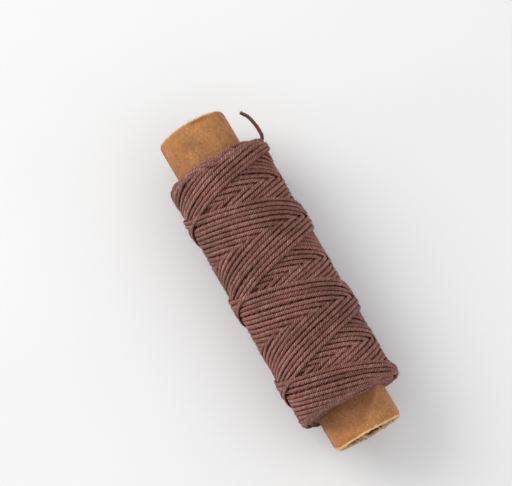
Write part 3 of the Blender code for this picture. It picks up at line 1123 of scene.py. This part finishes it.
def paper_material(name, outer, inside, rim, fibre_light, specular, worn=1.0, stain_and_shadow=False):
    """Paper: colours of its outer face, inner face (on the board a painted shade, dark as inside the
    bore), torn rim and pale fibres; worn widens the pale border at the ends."""
    shader = Shader(name)
    calc = shader.calc
    from_end, across, turn = shader.split(shader.attribute("paper"))
    position = shader.position()
    stretched = shader.node("Mapping", {"Vector": position, "Scale": (0.75, 1.0, 1.0)}).outputs[0]
    cloud = shader.noise(position, scale=240.0, detail=6.0, roughness=0.62)
    fibres = shader.noise(stretched, scale=2300.0, detail=5.0, roughness=0.68, distortion=1.4)
    specks = shader.node("TexVoronoi", {"Vector": stretched, "Scale": 1500.0})
    clouds = shader.ramp(
        cloud, (0.32, (0.74, 0.69, 0.63)), (0.50, (1.0, 1.0, 1.0)), (0.68, (1.19, 1.18, 1.20)),
    )
    streaks = shader.ramp(
        fibres, (0.34, (0.69, 0.63, 0.56)), (0.50, (1.0, 1.0, 1.0)), (0.68, (1.30, 1.31, 1.33)),
    )
    dots = shader.ramp(specks.outputs["Distance"], (0.0, (0.62, 0.58, 0.54)), (0.12, (1, 1, 1)))
    body = shader.tint(shader.tint(outer, clouds), streaks)
    body = shader.mix(0.45, body, dots, "MULTIPLY")

    # a few pale fibres and flecks lie in the surface
    flecks = shader.node("TexVoronoi", {"Vector": position, "Scale": 1500.0})
    chance = shader.node("SeparateColor", {0: flecks.outputs["Color"]}).outputs[0]
    near_fleck = calc("LESS_THAN", flecks.outputs["Distance"], 0.24)
    picked = calc("GREATER_THAN", chance, 0.74)
    fleck = calc("MULTIPLY", calc("MULTIPLY", near_fleck, picked), 0.13)
    body = shader.mix(fleck, body, fibre_light)

    # the inner face gets its own colour, which on the board is painted shade, dark as inside the bore; close to
    # the mouth it is pale torn paper, and the change from pale to dark paints the light that reaches only a
    # little way in
    back = shader.tint(shader.tint(inside, clouds), streaks)
    waver = calc("ADD", shader.scale_add(cloud, 1.5, -0.75), shader.scale_add(fibres, 1.2, -0.6))
    mouth = shader.map_range(
        calc("ADD", from_end, waver),
        source=(0.45, 1.05), target=(1.0, 0.0), smooth_step=True,
    )
    back = shader.mix(mouth, back, shader.tint(rim, streaks))
    body = shader.mix(calc("LESS_THAN", across, 0.42), body, back)

    # cut or worn paper at the ends is paler, with an uneven border
    jag = shader.scale_add(cloud, 0.9 * worn, -0.28 * worn)
    jag = calc("ADD", jag, shader.scale_add(fibres, 0.5 * worn, -0.25 * worn))
    jag = calc("ADD", jag, 0.10)
    if stain_and_shadow:
        blot = shader.noise(position, scale=170.0, detail=3.0)
        jag = rubbed_side(shader, jag, turn, position, blot)
    edge = shader.map_range(
        calc("SUBTRACT", from_end, jag), source=(-0.05, 0.26), target=(1.0, 0.0),
    )
    body = shader.mix(edge, body, rim)
    fluff = calc("MULTIPLY", shader.mask(fibres, 0.52, 0.70), calc("MULTIPLY", edge, 0.6))
    body = shader.mix(fluff, body, fibre_light)
    # painted shade: the hollows of the torn paper are painted near black
    sunk = calc("MULTIPLY", shader.attribute("hollow_shade", "Fac"), 0.85)
    body = shader.mix(sunk, body, (0.075, 0.034, 0.016))
    if stain_and_shadow:
        body = stained_and_shadowed_paper(shader, body, from_end, edge, position, blot)

    fibre_bump = shader.bump(fibres, strength=0.35, distance=0.00005)
    shader.finish(
        Base_Color=body,
        Roughness=shader.map_range(fibres, target=(0.48, 0.80)),
        Specular_IOR_Level=specular,
        Normal=shader.bump(cloud, strength=0.25, distance=0.00012, normal=fibre_bump),
    )
    return shader.material


wound = thread_material(
    "waxed_thread_wound", packed=True,
    base=(0.295, 0.132, 0.107), dark=(0.165, 0.055, 0.041), light=(0.50, 0.325, 0.280),
)
loose_thread = thread_material(
    "waxed_thread_free",
    base=(0.245, 0.104, 0.082), dark=(0.140, 0.048, 0.035), light=(0.42, 0.25, 0.205),
)
hair_thread = thread_material(
    "waxed_thread_fuzz",
    base=(0.42, 0.24, 0.195), dark=(0.30, 0.15, 0.115), light=(0.55, 0.37, 0.31),
)
# painted shade: the thread under the shown strands is the same thread painted far darker, standing in for the
# shade between them
deep_shaded_thread = thread_material(
    "waxed_thread_painted_shade", glow=0.3,
    base=(0.10, 0.045, 0.036), dark=(0.06, 0.026, 0.020), light=(0.15, 0.08, 0.065),
)
kraft = paper_material(
    "kraft_paper", specular=0.35, stain_and_shadow=True,
    outer=(0.365, 0.158, 0.052), inside=(0.36, 0.17, 0.07),
    rim=(0.66, 0.43, 0.24), fibre_light=(0.80, 0.62, 0.42),
)
board = paper_material(
    "core_board_paper", specular=0.12, worn=1.2,
    # the board's dark inner face is painted shade for the inside of the bore
    outer=(0.42, 0.245, 0.130), inside=(0.150, 0.060, 0.024),
    rim=(0.65, 0.43, 0.27), fibre_light=(0.82, 0.62, 0.44),
)


# ------------------------------------------------------------------ what each piece wears, follows and replaces
def dress(obj, material, slot_name, body, *stands_for):
    obj.data.materials.clear()
    obj.data.materials.append(material)
    if body:
        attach(obj, body)
    if stands_for:
        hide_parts(*stands_for)


for obj in thread_objs:
    dress(obj, wound, "waxed_thread", "spool")
dress(fuzz, hair_thread, "waxed_thread", "spool")
dress(far_fibres, board, "core_board", "spool")
dress(near_fibres, board, "core_board", "spool")
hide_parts("thread_outer_layers", "thread_last_pass")
# the body under the strands wears the darker thread, as painted shade
dress(under, deep_shaded_thread, "waxed_thread", "spool", "thread_first_layers", "thread_middle_layers")
dress(start_obj, loose_thread, "waxed_thread", "spool", "thread_starting_end")
dress(skin, kraft, "kraft_wrap", "spool", "core_outer_wrap")
dress(third, board, "core_board", "spool", "core_third_ply")
dress(second, board, "core_board", "spool", "core_second_ply")
dress(inner, board, "core_board", "spool", "core_inner_ply")
dress(turn_obj, wound, "waxed_thread", "last_turn", "thread_last_turn")

# piece, body before its bend, body after it, part it replaces, where it bends, half the bend's length
FREE_BENDS = (
    (lift_obj, "last_turn", "tail_lower", "thread_tail_lower", bend_at[0], 1.15),
    (sway_obj, "tail_lower", "tail_upper", "thread_tail_upper", bend_at[1], 1.05),
    (tip_obj, "tail_upper", "tail_tip", "thread_tail_tip", bend_at[2], 1.00),
)
for obj, parent, child, part_name, at, reach in FREE_BENDS:
    dress(obj, loose_thread, "waxed_thread", None, part_name)
    way = free_points[min(at + 3, free_count - 1)] - free_points[at - 3]
    way /= np.linalg.norm(way)
    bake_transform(obj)


# ------------------------------------------------------------------ floor, in metres from here on
def lowest_strand():
    """The spool rests on its strands; single hairs are pressed down by it."""
    lowest = 0.0
    for obj in thread_objs:
        coords = np.empty(len(obj.data.vertices) * 3, np.float32)
        obj.data.vertices.foreach_get("co", coords)
        lowest = min(lowest, float(coords[2::3].min()))
    return lowest


def build_floor(half_size=1.2):
    z = min(cad_low.z - 0.0001, lowest_strand() - 0.00002)
    mesh = bpy.data.meshes.new("floor")
    corners = [(x * half_size, y * half_size, z) for x, y in ((-1, -1), (1, -1), (1, 1), (-1, 1))]
    mesh.from_pydata(corners, [], [(0, 1, 2, 3)])
    floor = bpy.data.objects.new("floor", mesh)
    bpy.context.scene.collection.objects.link(floor)
    shader = Shader("floor_white")
    noise = shader.noise(shader.position(), scale=9.0, detail=3.0)
    white = shader.ramp(noise, (0.3, (0.75, 0.75, 0.75)), (0.7, (0.79, 0.79, 0.79)))
    shader.finish(Base_Color=white, Roughness=0.7)
    mesh.materials.append(shader.material)


build_floor()

# ------------------------------------------------------------------ light
world = bpy.data.worlds.new("studio")
bpy.context.scene.world = world
world.use_nodes = True
background = next(node for node in world.node_tree.nodes if node.type == "BACKGROUND")
background.inputs["Color"].default_value = (0.985, 0.99, 1.0, 1)
background.inputs["Strength"].default_value = 0.83


def area_light(name, place, size, power, color):
    """A square area light that faces the origin."""
    light = bpy.data.lights.new(name, "AREA")
    light.shape = "RECTANGLE"
    light.size = size
    light.size_y = size
    light.energy = power
    light.color = color
    obj = bpy.data.objects.new(name, light)
    obj.location = place
    obj.rotation_euler = (-place).to_track_quat("-Z", "Y").to_euler()
    bpy.context.scene.collection.objects.link(obj)


# a soft warm key from the -X, -Y side, and a weaker, cooler fill from the opposite side
key_place = Vector((-0.60, -0.42, 0.62)).normalized() * 0.78
area_light("key", key_place, size=0.50, power=3.2, color=(1.0, 0.985, 0.96))
area_light("fill", Vector((0.35, 0.45, 0.62)), size=0.6, power=0.7, color=(0.96, 0.975, 1.0))

# ------------------------------------------------------------------ camera
AZIMUTH, ELEVATION = math.radians(60.878), math.radians(78.22)
DISTANCE = 0.5202
# small turns away from the origin, in degrees about the camera's own axes, in the order applied
AIM = (("Z", -0.741), ("Y", 0.530), ("X", 0.858))

right = Vector((math.cos(AZIMUTH), math.sin(AZIMUTH), 0))
back = Vector((
    math.sin(AZIMUTH) * math.cos(ELEVATION),
    -math.cos(AZIMUTH) * math.cos(ELEVATION),
    math.sin(ELEVATION),
))
basis = Matrix((right, back.cross(right), back)).transposed()
for axis, degrees in AIM:
    basis = basis @ Matrix.Rotation(math.radians(degrees), 3, axis)
camera_data = bpy.data.cameras.new("camera")
camera_data.lens = 171.41
camera_data.sensor_width = 36.0
camera_data.clip_start = 0.01
camera_data.clip_end = 10
camera = bpy.data.objects.new("camera", camera_data)
bpy.context.scene.collection.objects.link(camera)
camera.matrix_world = Matrix.Translation(back * DISTANCE) @ basis.to_4x4()
bpy.context.scene.camera = camera
bpy.context.scene.view_settings.view_transform = "Standard"

# ------------------------------------------------------------------ the scene brought up to date
bpy.context.view_layer.update()
